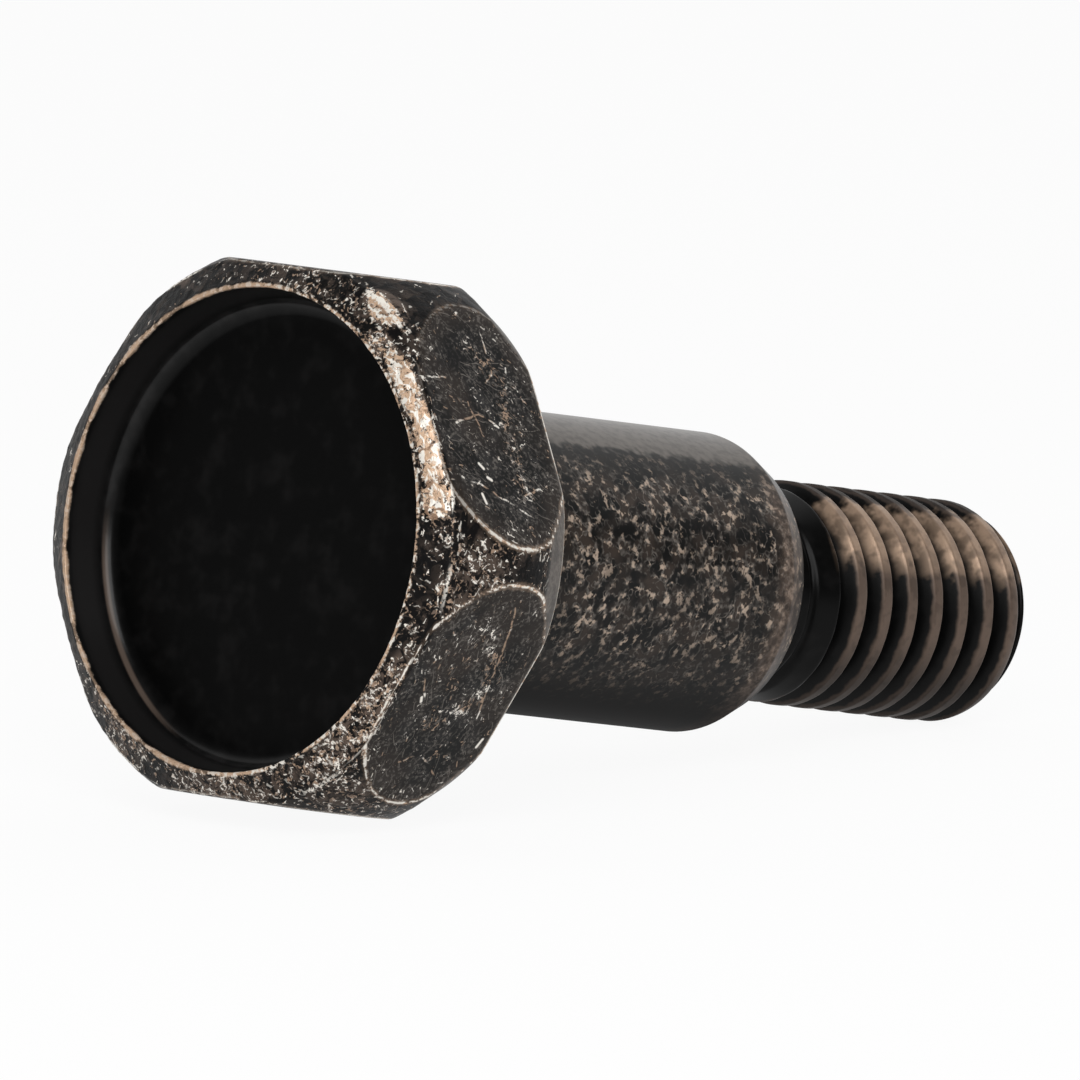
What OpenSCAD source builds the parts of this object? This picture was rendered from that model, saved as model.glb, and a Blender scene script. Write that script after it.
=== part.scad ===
// Hex-head shoulder bolt with a dished head, lying as it comes to rest.
// It is one forged, turned and rolled piece: head, plain shoulder, neck and right-hand thread.
// The origin is the centre of the head's bearing face. +Z is up and the shank runs towards +X,
// sloping down to the thread, because the bolt lies on one flat's rear edge and the thread's end.

/* [Head] */
// Width across the flats of the hex
head_af = 22.225; // [18:0.025:30]
// Height of the head, from its front face to its bearing face
head_height = 7.5; // [6:0.1:12]
// How far the rounded corners fall short of a sharp hex corner
corner_cut = 0.41; // [0.2:0.01:0.8]
// Distance of the corners' widest point from the bearing face
crown_to_seat = 3.3; // [2.6:0.1:4]
// Depth of the sloping front band, from the front face to its ridge
band_depth = 0.75; // [0.4:0.05:1.2]
// How far the ridge stands out past the plane of a flat
ridge_step = 0.4; // [0.1:0.05:0.8]
// Length of the chamfer that trims the corners at the bearing face
heel_length = 1.6; // [0.5:0.1:2.2]
// How far the bearing face reaches out past the plane of a flat
seat_step = 0.3; // [0.1:0.05:0.6]

/* [Recess] */
// Wall between the recess and a flat, at the front face
rim_wall = 1.06; // [0.6:0.02:2.4]
// Width of the narrow flat lip around the recess
lip_width = 0.12; // [0.05:0.01:0.4]
// Depth of the recess
recess_depth = 2.3; // [1.4:0.1:4]
// Slope of the recess wall, in degrees
recess_draft = 9; // [1:0.5:20]
// Fillet between the recess wall and its floor
recess_fillet = 0.75; // [0.2:0.05:1.2]

/* [Shoulder] */
// Diameter of the plain shoulder
shoulder_d = 12.7; // [11:0.1:17]
// Length of the shoulder, from the bearing face to its end
shoulder_length = 20.7; // [10:0.1:60]
// Length of the sloping edge at the shoulder's end
shoulder_edge_length = 1.25; // [0.3:0.05:3]
// Height of that edge, along the radius
shoulder_edge_height = 0.6; // [0.2:0.05:0.8]
// Fillet where the shoulder meets the bearing face
seat_fillet = 0.4; // [0.2:0.05:1]

/* [Thread] */
// Outer diameter of the thread
thread_d = 9.525; // [7:0.025:11]
// Pitch of the thread
thread_pitch = 1.5875; // [1:0.0125:2]
// Length of the neck and thread together, from the shoulder's end to the tip
stud_length = 15.7; // [8:0.1:40]
// Length of the plain neck behind the thread
neck_length = 2; // [0.6:0.1:3]
// How far the neck lies below the thread's root
neck_relief = 0.08; // [0.02:0.01:0.4]
// Length over which the thread rises out of its root behind the full crests
runout_length = 2; // [0.8:0.1:3]
// Length of the rounded edge at the tip
tip_edge_length = 1.6; // [0.5:0.1:2.5]
// Height of that edge, along the radius
tip_edge_height = 0.75; // [0.4:0.05:1.5]
// Turn of the helix about the axis, in degrees
thread_turn = 15; // [0:5:355]

/* [Hidden] */
// Form of a rolled 60-degree thread, as parts of its pitch
depth_per_pitch = 0.55;
crest_per_pitch = 0.25;
flank_per_pitch = depth_per_pitch * tan(30);
// Segments around the thread, and points on each curve of the outline
thread_sides = 48;
crown_steps = 8;
heel_steps = 4;
fillet_steps = 6;
round_sides = 120;
// Overlap that carries a cut or a joined shape clear past a face
overlap = 1;

// Radii of the head's outline
flat_r = head_af / 2;
corner_r = head_af / sqrt(3) - corner_cut;
ridge_r = flat_r + ridge_step;
seat_r = flat_r + seat_step;
recess_r = flat_r - rim_wall;
lip_r = recess_r + lip_width;
shoulder_r = shoulder_d / 2;

// Stations along the axis, counted from the bearing face towards the thread
front = -head_height;
ridge_at = front + band_depth;
crown_at = -crown_to_seat;
heel_at = -heel_length;
crown_bend = (corner_r - ridge_r) / pow(crown_at - ridge_at, 2);
floor_at = front + recess_depth;
thread_start = shoulder_length + neck_length;
thread_end = shoulder_length + stud_length;
tip_edge_at = thread_end - tip_edge_length;

// Radii of the thread
thread_r = thread_d / 2;
thread_depth = thread_pitch * depth_per_pitch;
root_r = thread_r - thread_depth;
tip_r = thread_r - tip_edge_height;
neck_r = root_r * cos(180 / thread_sides) - neck_relief;

// The bolt leans over the line from the flat's rear edge to the last full crest
rest_tilt = atan((flat_r - thread_r) / tip_edge_at);

// Radius of the rounded corners at a station: a shallow bow with its widest point at the crown
function crown_radius(at) = corner_r - crown_bend * pow(at - crown_at, 2);

// Points of a quarter bow between two angles, about a centre given as radius and station
function bow(centre_r, centre_at, radius, from, to, steps) = [
    for (step = [0 : steps])
        let (angle = from + (to - from) * step / steps)
            [centre_r + radius * cos(angle), centre_at + radius * sin(angle)]
];

// Outline of the recess, from its floor out to the lip
function recess_outline() =
    let (
        fillet_at = floor_at - recess_fillet,
        fillet_r = recess_r - (fillet_at - front) * tan(recess_draft) - recess_fillet / cos(recess_draft)
    )
    concat(
        [[0, floor_at]],
        bow(fillet_r, fillet_at, recess_fillet, 90, recess_draft, fillet_steps),
        [[recess_r, front], [lip_r, front]]
    );

// Outline of the head's rim, from the ridge over the crown to the bearing face
function rim_outline() = concat(
    [
        for (step = [0 : crown_steps])
            let (at = ridge_at + (crown_at - ridge_at) * step / crown_steps)
                [crown_radius(at), at]
    ],
    [
        for (step = [1 : heel_steps])
            let (at = crown_at + (heel_at - crown_at) * step / heel_steps)
                [crown_radius(at), at]
    ],
    [[seat_r, 0]]
);

// Outline of the shank, from the bearing face to the neck's end inside the thread
function shank_outline() = concat(
    bow(shoulder_r + seat_fillet, seat_fillet, seat_fillet, 270, 180, fillet_steps),
    [
        [shoulder_r, shoulder_length - shoulder_edge_length],
        [shoulder_r - shoulder_edge_height, shoulder_length],
        [neck_r, shoulder_length],
        [neck_r, thread_start + overlap],
        [0, thread_start + overlap]
    ]
);

// Turned blank of the head, shoulder and neck
module blank() {
    rotate_extrude($fn = round_sides)
        polygon(concat(recess_outline(), rim_outline(), shank_outline()));
}

// Six blocks that stand outside the hex and trim its flats
module flat_cuts() {
    depth = corner_r - flat_r + overlap;
    for (side = [0 : 5])
        rotate(60 * side)
            translate([flat_r, -corner_r, front - overlap])
                cube([depth, 2 * corner_r, head_height + 2 * overlap]);
}

// Right-hand thread as one closed skin: each column of points runs along the axis over the crests
// and roots, and one turn shifts a column by the four points of a pitch
module thread() {
    form = [
        [-crest_per_pitch / 2, thread_r],
        [crest_per_pitch / 2, thread_r],
        [crest_per_pitch / 2 + flank_per_pitch, root_r],
        [1 - crest_per_pitch / 2 - flank_per_pitch, root_r]
    ];
    lead_in = 3;
    pitches = ceil((thread_end - thread_start) / thread_pitch) + 2 * lead_in;
    rows = len(form) * pitches;
    snap = thread_pitch / 50;

    function turn_of(row) = floor(row / len(form)) - lead_in + thread_turn / 360;
    function station(column, row) =
        thread_start + thread_pitch * (column / thread_sides + turn_of(row) + form[row % len(form)][0]);
    function limit(at) = min(
        root_r + thread_depth * (at - thread_start) / runout_length,
        thread_r - tip_edge_height * pow(max(0, at - tip_edge_at) / tip_edge_length, 2)
    );
    function place(column, radius, at) =
        let (angle = 360 * column / thread_sides)
            [radius * cos(angle), radius * sin(angle), at];
    function index(column, row) =
        column == thread_sides ? index(0, row + len(form))
        : station(column, row) < thread_start + snap ? column
        : station(column, row) > thread_end - snap ? thread_sides + column
        : 2 * thread_sides + column * rows + row;
    function whole(face) = face[0] != face[1] && face[1] != face[2] && face[2] != face[0];

    start_ring = [for (column = [0 : thread_sides - 1]) place(column, root_r, thread_start)];
    end_ring = [for (column = [0 : thread_sides - 1]) place(column, tip_r, thread_end)];
    skin = [
        for (column = [0 : thread_sides - 1], row = [0 : rows - 1])
            let (at = station(column, row))
                place(column, min(form[row % len(form)][1], limit(at)), at)
    ];
    sides = [
        for (column = [0 : thread_sides - 1], row = [0 : rows - len(form) - 1])
            let (
                a = index(column, row),
                b = index(column, row + 1),
                c = index(column + 1, row + 1),
                d = index(column + 1, row)
            )
                each [for (face = [[a, b, c], [a, c, d]]) if (whole(face)) face]
    ];
    caps = [
        [for (column = [0 : thread_sides - 1]) column],
        [for (column = [thread_sides - 1 : -1 : 0]) thread_sides + column]
    ];
    polyhedron(points = concat(start_ring, end_ring, skin), faces = concat(sides, caps), convexity = 10);
}

// The whole bolt, turned so that one flat faces down and the axis leans to its rest
module shoulder_bolt() {
    color("#2c2a28")
        rotate([0, 90 + rest_tilt, 0])
            union() {
                difference() {
                    blank();
                    flat_cuts();
                }
                thread();
            }
}

shoulder_bolt();
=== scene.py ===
"""Looks of a hex-head shoulder bolt in a worn black finish.

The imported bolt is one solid, so the dressed bolt is one closed skin. It is worked out on two grids
that meet on the bearing face: the head, from the centre of its recess over the rim, and the shank,
with the shoulder, the neck and the thread. Sizes are in millimetres. A point of the skin is given by
its angle round the axis, counted from straight up towards the front side, by its radius and by its
station along the axis, counted from the bearing face towards the thread. It is then turned to the
way the bolt lies, and written in metres.
"""

import logging
import math
from dataclasses import dataclass, field
from enum import Enum
from typing import TypeAlias

import bpy
import numpy as np
from mathutils import Matrix, Vector


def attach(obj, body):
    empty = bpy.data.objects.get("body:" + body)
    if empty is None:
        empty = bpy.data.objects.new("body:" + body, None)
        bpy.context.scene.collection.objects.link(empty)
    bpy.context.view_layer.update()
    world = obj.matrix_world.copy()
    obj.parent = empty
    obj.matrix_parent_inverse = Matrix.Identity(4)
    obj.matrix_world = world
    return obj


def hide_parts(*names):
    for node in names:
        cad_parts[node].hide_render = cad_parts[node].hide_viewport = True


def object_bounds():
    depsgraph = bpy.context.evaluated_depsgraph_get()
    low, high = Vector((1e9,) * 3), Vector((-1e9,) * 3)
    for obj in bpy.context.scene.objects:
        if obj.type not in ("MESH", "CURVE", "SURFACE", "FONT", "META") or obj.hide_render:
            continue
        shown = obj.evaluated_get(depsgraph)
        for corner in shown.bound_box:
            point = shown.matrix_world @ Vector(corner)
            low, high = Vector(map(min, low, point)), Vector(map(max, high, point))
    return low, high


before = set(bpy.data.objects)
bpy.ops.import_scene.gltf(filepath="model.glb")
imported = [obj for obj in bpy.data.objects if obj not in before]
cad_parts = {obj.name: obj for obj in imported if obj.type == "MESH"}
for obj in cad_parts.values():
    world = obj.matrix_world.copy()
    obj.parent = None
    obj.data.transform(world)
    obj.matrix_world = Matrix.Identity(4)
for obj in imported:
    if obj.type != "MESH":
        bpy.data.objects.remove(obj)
cad_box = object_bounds()

Array = np.ndarray
Colour = tuple[float, float, float]

log = logging.getLogger("shoulder_bolt")
MM = 0.001
FULL_TURN = 2 * math.pi
HEX_SIDES = 6
FLAT_APART = 40.0
UPPER_FLAT = 1
LOWER_FLAT = 2
FAR = 3.0

# Roughness and bareness of metal that shows through, of a thin graze and of an edge worn smooth
BARE = (0.4, 0.3)
GRAZED = (0.4, 0.2)
WORN_SMOOTH = (0.38, 0.3)


class Mask(str, Enum):
    """Numbers that the skin carries at each of its points for its finish."""

    FLAT = "on_flat"
    FORGED = "forged_rough"
    HEEL = "on_heel"
    SOOT = "deep_black"
    WALL = "recess_wall"
    FILLET = "recess_fillet"
    RUB = "rubbed_bare"
    DENT = "flat_dented"
    EDGE = "flat_edge_gap"
    REAR = "rear_edge_gap"
    LIP = "lip_gap"
    SHOULDER = "on_shoulder"
    END = "shoulder_end_gap"
    CREST = "thread_crest"
    PLANE = "flat_plane"
    WRAP = "rim_wrap"

    @property
    def is_place(self) -> bool:
        """True for a mask that holds a place on the surface."""
        return self in (Mask.PLANE, Mask.WRAP)


def smooth_step(value: Array, low: float, high: float) -> Array:
    """Gives 0 below low, 1 above high and a smooth S between them.

    Args:
        value: Numbers to grade.
        low: Where the rise starts.
        high: Where it ends; below low, the rise is turned round.

    Returns:
        The share of the rise at each number.
    """
    share = np.clip((value - low) / (high - low), 0.0, 1.0)
    return share * share * (3 - 2 * share)


def soft_min(first: Array, second: Array, blend: Array | float) -> Array:
    """Gives the lesser of two surfaces with their meeting rounded off.

    The formula is half the sum less half the root of the squared difference plus the squared blend.

    Args:
        first: Heights of one surface.
        second: Heights of the other.
        blend: Size of the rounding, twice the height that the edge loses.

    Returns:
        The rounded lesser height.
    """
    return (first + second - np.sqrt((first - second) ** 2 + blend**2)) / 2


def ripple(points: Array, size: float, seed: int, waves: int = 40) -> Array:
    """Gives a smooth random field in space: a sum of plane waves in seeded random directions.

    Args:
        points: Places in millimetres, three in the last axis.
        size: Typical width of a swell.
        seed: Seed of the draw.
        waves: How many plane waves are added.

    Returns:
        A field of about unit spread.
    """
    draw = np.random.default_rng(seed)
    ways = draw.normal(size=(waves, 3)) * (math.pi / size)
    starts = draw.uniform(0, FULL_TURN, waves)
    total = np.zeros(points.shape[:-1])
    for way, start in zip(ways, starts):
        total += np.cos(points @ way + start)
    return total * math.sqrt(2 / waves)


@dataclass
class Grid:
    """A closed run of rings: angle, radius and station of each point, with what its finish reads."""

    angle: Array
    radius: Array
    station: Array
    masks: dict[Mask, Array] = field(default_factory=dict)

    def fill(self, mask: Mask, value: Array | float) -> None:
        """Stores one mask at the grid's full shape."""
        self.masks[mask] = np.broadcast_to(value, self.radius.shape).astype(float)

    def plain_places(self) -> Array:
        """Gives the points as they lie on a plain, upright bolt.

        Returns:
            Places in millimetres: up, front side and along the axis.
        """
        up = np.cos(self.angle) * self.radius
        aside = np.sin(self.angle) * self.radius
        return np.stack([up, aside, self.station], axis=-1)

    def pushed_places(self, height: Array) -> Array:
        """Gives the points pushed out along the surface's normal.

        The normal is the cross product of the step along the outline and the step round the ring.

        Args:
            height: How far each point moves, in millimetres.

        Returns:
            The moved places.
        """
        places = self.plain_places()
        around = np.roll(places, -1, axis=1) - np.roll(places, 1, axis=1)
        onward = np.gradient(places, axis=0)
        normal = np.cross(onward, around)
        normal /= np.linalg.norm(normal, axis=-1, keepdims=True) + 1e-12
        return places + normal * height[..., None]


@dataclass
class Rest:
    """The way the bolt lies: on one flat's rear edge and on the thread's last full crest."""

    flat_r: float
    thread_r: float
    reach: float

    @property
    def tilt(self) -> float:
        """Angle by which the shank slopes down, in radians."""
        return math.atan((self.flat_r - self.thread_r) / self.reach)

    def lay(self, plain: Array) -> Array:
        """Turns plain places to the way the bolt lies.

        A point is its station along the sloping axis, plus its height along the leaning upright,
        plus its reach to the front side, which is minus Y.

        Args:
            plain: Places as up, front side and along the axis, in millimetres.

        Returns:
            The same places in metres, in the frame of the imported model.
        """
        cos, sin = math.cos(self.tilt), math.sin(self.tilt)
        up, aside, along = plain[..., 0], plain[..., 1], plain[..., 2]
        return np.stack([along * cos + up * sin, -aside, up * cos - along * sin], axis=-1) * MM


@dataclass(frozen=True)
class Patch:
    """A rubbed place on the rim: its middle, its half lengths and how bare it is.

    The angle is in degrees from straight up towards the front side. The other lengths run along
    the outline, from the recess's lip over the rim, in millimetres.
    """

    angle: float
    along: float
    half_angle: float
    half_along: float
    bare: float

    def share(self, angle: Array, along: Array) -> Array:
        """Gives how bare the skin is: full inside the ellipse, fading out past its edge.

        Args:
            angle: Angles round the axis, in radians.
            along: Lengths along the outline from the lip.

        Returns:
            The bareness at each point.
        """
        apart = (np.degrees(angle) - self.angle + 180) % 360 - 180
        away = np.hypot(apart / self.half_angle, (along - self.along) / self.half_along)
        return self.bare * smooth_step(away, 1.15, 0.6)


@dataclass(frozen=True)
class Mark:
    """A line worn into one flat.

    Each point is the distance across the flat from its middle and the depth from the front face,
    in millimetres.
    """

    flat: int
    points: tuple[tuple[float, float], ...]

    def route(self) -> list[tuple[float, float]]:
        """Gives the points on the one plane on which the six flats lie side by side."""
        return [(FLAT_APART * self.flat + across, depth) for across, depth in self.points]

    def gap(self, place: Array) -> Array:
        """Gives the distance from the line, the least over its straight pieces.

        Args:
            place: Places on the flats' plane, two numbers in the last axis.

        Returns:
            The distance of each place, in millimetres.
        """
        route = np.array(self.route())
        gaps = []
        for start, end in zip(route, route[1:]):
            way = end - start
            away = place - start
            share = np.clip(away @ way / (way @ way), 0, 1)
            gaps.append(np.linalg.norm(away - share[..., None] * way, axis=-1))
        return np.min(gaps, axis=0)


@dataclass
class Head:
    """Forged hex head with a dished front, rounded corners and a trimmed heel."""

    across_flats: float = 22.225
    height: float = 7.5
    corner_r: float = 12.42
    crown_depth: float = 4.2
    band_depth: float = 0.75
    ridge_step: float = 0.4
    heel_length: float = 1.6
    seat_step: float = 0.3
    rim_wall: float = 1.06
    lip_width: float = 0.12
    lip_drop: float = 0.055
    recess_depth: float = 2.3
    recess_draft: float = math.radians(9)
    recess_fillet: float = 0.75
    seat_inner_r: float = 7.4
    centre_ring_r: float = 0.7
    columns: int = 600
    edge_round: float = 0.08
    front_round: float = 0.12
    heel_round: float = 0.12
    forged_swell: float = 0.008
    worn_depth: float = 0.05
    dent_reach: float = 0.6
    dents: tuple[Mark, ...] = (
        Mark(UPPER_FLAT, ((-3.5, 4.0), (-2.0, 5.5), (0.0, 5.0), (2.0, 5.0), (3.0, 5.0))),
        Mark(LOWER_FLAT, ((-3.5, 3.5), (-2.0, 5.0), (0.0, 5.5), (0.5, 5.0), (1.5, 3.5))),
    )
    patches: tuple[Patch, ...] = (
        Patch(50, 0.64, 13, 0.62, 1.0),
        Patch(66, 0.8, 18, 0.66, 1.0),
        Patch(77, 0.85, 7, 0.85, 0.92),
        Patch(31, 1.65, 7, 0.85, 1.0),
        Patch(38, 0.5, 6, 0.6, 0.72),
        Patch(132, 0.8, 26, 0.9, 0.62),
        Patch(96, 3.0, 12, 1.9, 0.44),
        Patch(213, 0.4, 16, 0.6, 0.55),
        Patch(257, 0.3, 9, 0.6, 0.6),
        Patch(172, 0.7, 24, 0.9, 0.5),
        Patch(3, 0.7, 24, 0.9, 0.34),
        Patch(300, 0.7, 45, 0.9, 0.2),
        Patch(330, 2.4, 8, 1.6, 0.5),
        Patch(270, 2.6, 9, 1.8, 0.45),
        Patch(210, 2.2, 8, 1.4, 0.6),
        Patch(150, 2.6, 9, 1.8, 0.42),
    )

    @property
    def flat_r(self) -> float:
        """Distance of a flat from the axis."""
        return self.across_flats / 2

    @property
    def ridge_r(self) -> float:
        """Radius of the band's ridge, a step past the flats."""
        return self.flat_r + self.ridge_step

    @property
    def seat_r(self) -> float:
        """Radius of the bearing face, a step past the flats."""
        return self.flat_r + self.seat_step

    @property
    def recess_r(self) -> float:
        """Radius of the recess's mouth, a wall inside the flats."""
        return self.flat_r - self.rim_wall

    @property
    def lip_r(self) -> float:
        """Radius of the lip's middle."""
        return self.recess_r + self.lip_width / 2

    def recess_outline(self) -> tuple[Array, Array]:
        """Gives the recess as radius and depth: floor, fillet arc, sloping wall and rounded lip.

        Returns:
            Radii and depths below the front face, from near the centre out to the lip.
        """
        fillet_depth = self.recess_depth - self.recess_fillet
        slope = math.tan(self.recess_draft)
        fillet_r = self.recess_r - fillet_depth * slope - self.recess_fillet / math.cos(self.recess_draft)
        floor_r = np.linspace(self.centre_ring_r, fillet_r, 13, endpoint=False)
        arc = np.linspace(math.pi / 2, self.recess_draft, 9)
        arc_r = fillet_r + self.recess_fillet * np.cos(arc)
        arc_depth = fillet_depth + self.recess_fillet * np.sin(arc)
        wall_depth = np.array([1.35, 1.1, 0.85, 0.6, 0.4, 0.25, 0.15, 0.09])
        wall_r = self.recess_r - wall_depth * slope
        lip = np.linspace(math.pi * 0.9, math.pi * 0.35, 5)
        lip_r = self.lip_r + self.lip_width / 2 * np.cos(lip)
        lip_depth = self.lip_drop * (1 - np.sin(lip))
        radius = np.concatenate([floor_r, arc_r, wall_r, lip_r])
        depth = np.concatenate([np.full_like(floor_r, self.recess_depth), arc_depth, wall_depth, lip_depth])
        return radius, depth

    def rim_outline(self) -> tuple[Array, Array]:
        """Gives the turned rim as radius and depth: sloping band, bowed crown and heel chamfer.

        The crown is a parabola with its widest point at crown_depth. Stations lie closer together
        at the front edge and at the heel.

        Returns:
            Radii and depths below the front face, from the lip out to the bearing face.
        """
        lip_r = self.recess_r + self.lip_width
        band_share = np.linspace(0.08, 1.0, 11)
        band_r = lip_r + (self.ridge_r - lip_r) * band_share
        band_depth = self.band_depth * band_share
        heel_at = self.height - self.heel_length
        bend = (self.corner_r - self.ridge_r) / (self.crown_depth - self.band_depth) ** 2
        crown_share = np.linspace(0, 1, 36)[1:]
        crown_depth = self.band_depth + (heel_at - self.band_depth) * crown_share**1.25
        crown_r = self.corner_r - bend * (crown_depth - self.crown_depth) ** 2
        heel_share = np.array([0.12, 0.28, 0.46, 0.64, 0.8, 0.9, 0.95, 0.985, 1.0])
        heel_r = crown_r[-1] + (self.seat_r - crown_r[-1]) * heel_share
        heel_depth = heel_at + self.heel_length * heel_share
        radius = np.concatenate([band_r, crown_r, heel_r])
        depth = np.concatenate([band_depth, crown_depth, heel_depth])
        return radius, depth

    def skin(self) -> Grid:
        """Works out the head's grid and its masks.

        The rim's radius is the lesser of the turned outline and of the hex, which is the flat's
        distance over the cosine of the angle from the flat's middle. The gap from the edge between
        the two is their difference over the steepness of that difference.

        Returns:
            The head from the ring next to the recess's centre to the inner ring of the bearing face.
        """
        angle = np.arange(self.columns) * FULL_TURN / self.columns
        round_angle = np.ones_like(angle)
        step = FULL_TURN / HEX_SIDES
        off_flat = (angle + step / 2) % step - step / 2
        hex_r = self.flat_r / np.cos(off_flat)
        hex_steep = np.tan(off_flat)

        recess_r, recess_depth = self.recess_outline()
        rim_r, rim_depth = self.rim_outline()
        blend = self.edge_round + self.front_round * smooth_step(rim_depth, 1.5, 0.55)
        turned = rim_r[:, None] * round_angle
        rim = soft_min(turned, hex_r[None, :], blend[:, None])
        near_heel = np.clip((rim_depth - self.height + self.heel_round) / self.heel_round, 0, 1)
        rim = rim - (self.heel_round * (1 - np.sqrt(1 - near_heel**2)))[:, None]
        seat_share = np.linspace(0, 1, 7)[1:]
        seat = rim[-1] + (self.seat_inner_r - rim[-1]) * seat_share[:, None]

        on_recess = slice(0, len(recess_r))
        on_rim = slice(len(recess_r), len(recess_r) + len(rim_r))
        on_seat = slice(on_rim.stop, None)
        radius = np.concatenate([recess_r[:, None] * round_angle, rim, seat])
        depth = np.concatenate([recess_depth, rim_depth, np.full(len(seat), self.height)])
        station = (depth - self.height)[:, None] * round_angle
        grid = Grid(np.broadcast_to(angle, radius.shape), radius, station)
        for mask in Mask:
            grid.fill(mask, 0.0)

        length = np.cumsum(np.hypot(np.diff(rim_r, prepend=self.lip_r), np.diff(rim_depth, prepend=0.0)))
        rise = np.gradient(rim_r, length)
        steep = np.sqrt(rise[:, None] ** 2 + hex_steep[None, :] ** 2) + 0.02
        into_flat = (turned - hex_r[None, :]) / steep
        heel_at = self.height - self.heel_length
        past_heel = smooth_step(rim_depth, heel_at - 0.1, heel_at + 0.12)
        heel = past_heel[:, None] * smooth_step(into_flat, 0.02, -0.06)
        flat = smooth_step(into_flat, 0.0, 0.12) * smooth_step(rim_depth, 0.7, 1.05)[:, None]
        grid.masks[Mask.FLAT][on_rim] = flat
        grid.masks[Mask.HEEL][on_rim] = heel
        grid.masks[Mask.FORGED][on_rim] = (1 - flat) * (1 - heel)
        for mask in (Mask.EDGE, Mask.REAR, Mask.LIP, Mask.END):
            grid.fill(mask, FAR)
        grid.masks[Mask.EDGE][on_rim] = np.abs(into_flat)
        grid.masks[Mask.REAR][on_rim] = (self.height - rim_depth)[:, None]
        grid.masks[Mask.REAR][on_seat] = seat_share[:, None] * (self.seat_r - self.seat_inner_r)

        self.mark_recess(grid, recess_depth)
        grid.masks[Mask.LIP][on_recess] = np.hypot(recess_r - self.lip_r, recess_depth)[:, None]
        grid.masks[Mask.LIP][on_rim] = np.hypot(rim_r - self.lip_r, rim_depth)[:, None]

        along = np.zeros(radius.shape)
        along[on_recess] = -recess_depth[:, None]
        along[on_rim] = length[:, None]
        along[on_seat] = length[-1] + seat_share[:, None]
        self.unroll(grid, along)
        return grid

    def mark_recess(self, grid: Grid, depth: Array) -> None:
        """Marks the recess's soot, its wall and its fillet by their depth.

        Args:
            grid: The head's grid, with the recess's rings first.
            depth: Depth of each of those rings below the front face.
        """
        rings = slice(0, len(depth))
        fillet_gap = np.abs(depth - self.recess_depth + self.recess_fillet * 0.45)
        wall = smooth_step(depth, 0.1, 0.5) * smooth_step(depth, 1.9, 1.4)
        grid.masks[Mask.SOOT][rings] = smooth_step(depth, 0.0, 0.3)[:, None]
        grid.masks[Mask.WALL][rings] = wall[:, None]
        grid.masks[Mask.FILLET][rings] = smooth_step(fillet_gap, 0.35, 0.0)[:, None]

    def unroll(self, grid: Grid, along: Array) -> None:
        """Stores patches, dents and two flat maps: the flats side by side, and the rim rolled out.

        Args:
            grid: The head's grid.
            along: Length along the outline from the lip, below zero inside the recess.
        """
        rub = np.max([patch.share(grid.angle, along) for patch in self.patches], axis=0)
        grid.masks[Mask.RUB] = np.where(along < 0, 0, rub)
        step = FULL_TURN / HEX_SIDES
        from_edge = grid.angle + step / 2
        flat_number = np.floor(from_edge / step) % HEX_SIDES
        across = grid.radius * np.sin(from_edge % step - step / 2) + FLAT_APART * flat_number
        nothing = np.zeros(grid.radius.shape)
        plane = np.stack([across, grid.station + self.height, nothing], axis=-1)
        dent_gap = np.min([mark.gap(plane[..., :2]) for mark in self.dents], axis=0)
        grid.masks[Mask.DENT] = smooth_step(dent_gap, self.dent_reach, self.dent_reach * 0.35)
        grid.masks[Mask.PLANE] = plane
        round_rim = np.minimum(grid.angle, FULL_TURN - grid.angle) * self.ridge_r
        grid.masks[Mask.WRAP] = np.stack([round_rim, along, nothing], axis=-1)

    def places(self, grid: Grid) -> Array:
        """Gives the head's points with the swells and crumbs of its forged rim.

        Args:
            grid: The head's grid.

        Returns:
            Places in millimetres.
        """
        plain = grid.plain_places()
        lip = smooth_step(grid.masks[Mask.LIP], 0.2, 0.0)
        forged = np.maximum(grid.masks[Mask.FORGED], lip)
        swell = ripple(plain, 1.3, 5) * 0.4 + ripple(plain, 0.45, 6)
        worn_low = -self.worn_depth * smooth_step(grid.masks[Mask.RUB], 0.5, 1.0)
        return grid.pushed_places(forged * (self.forged_swell * swell + worn_low))


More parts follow.
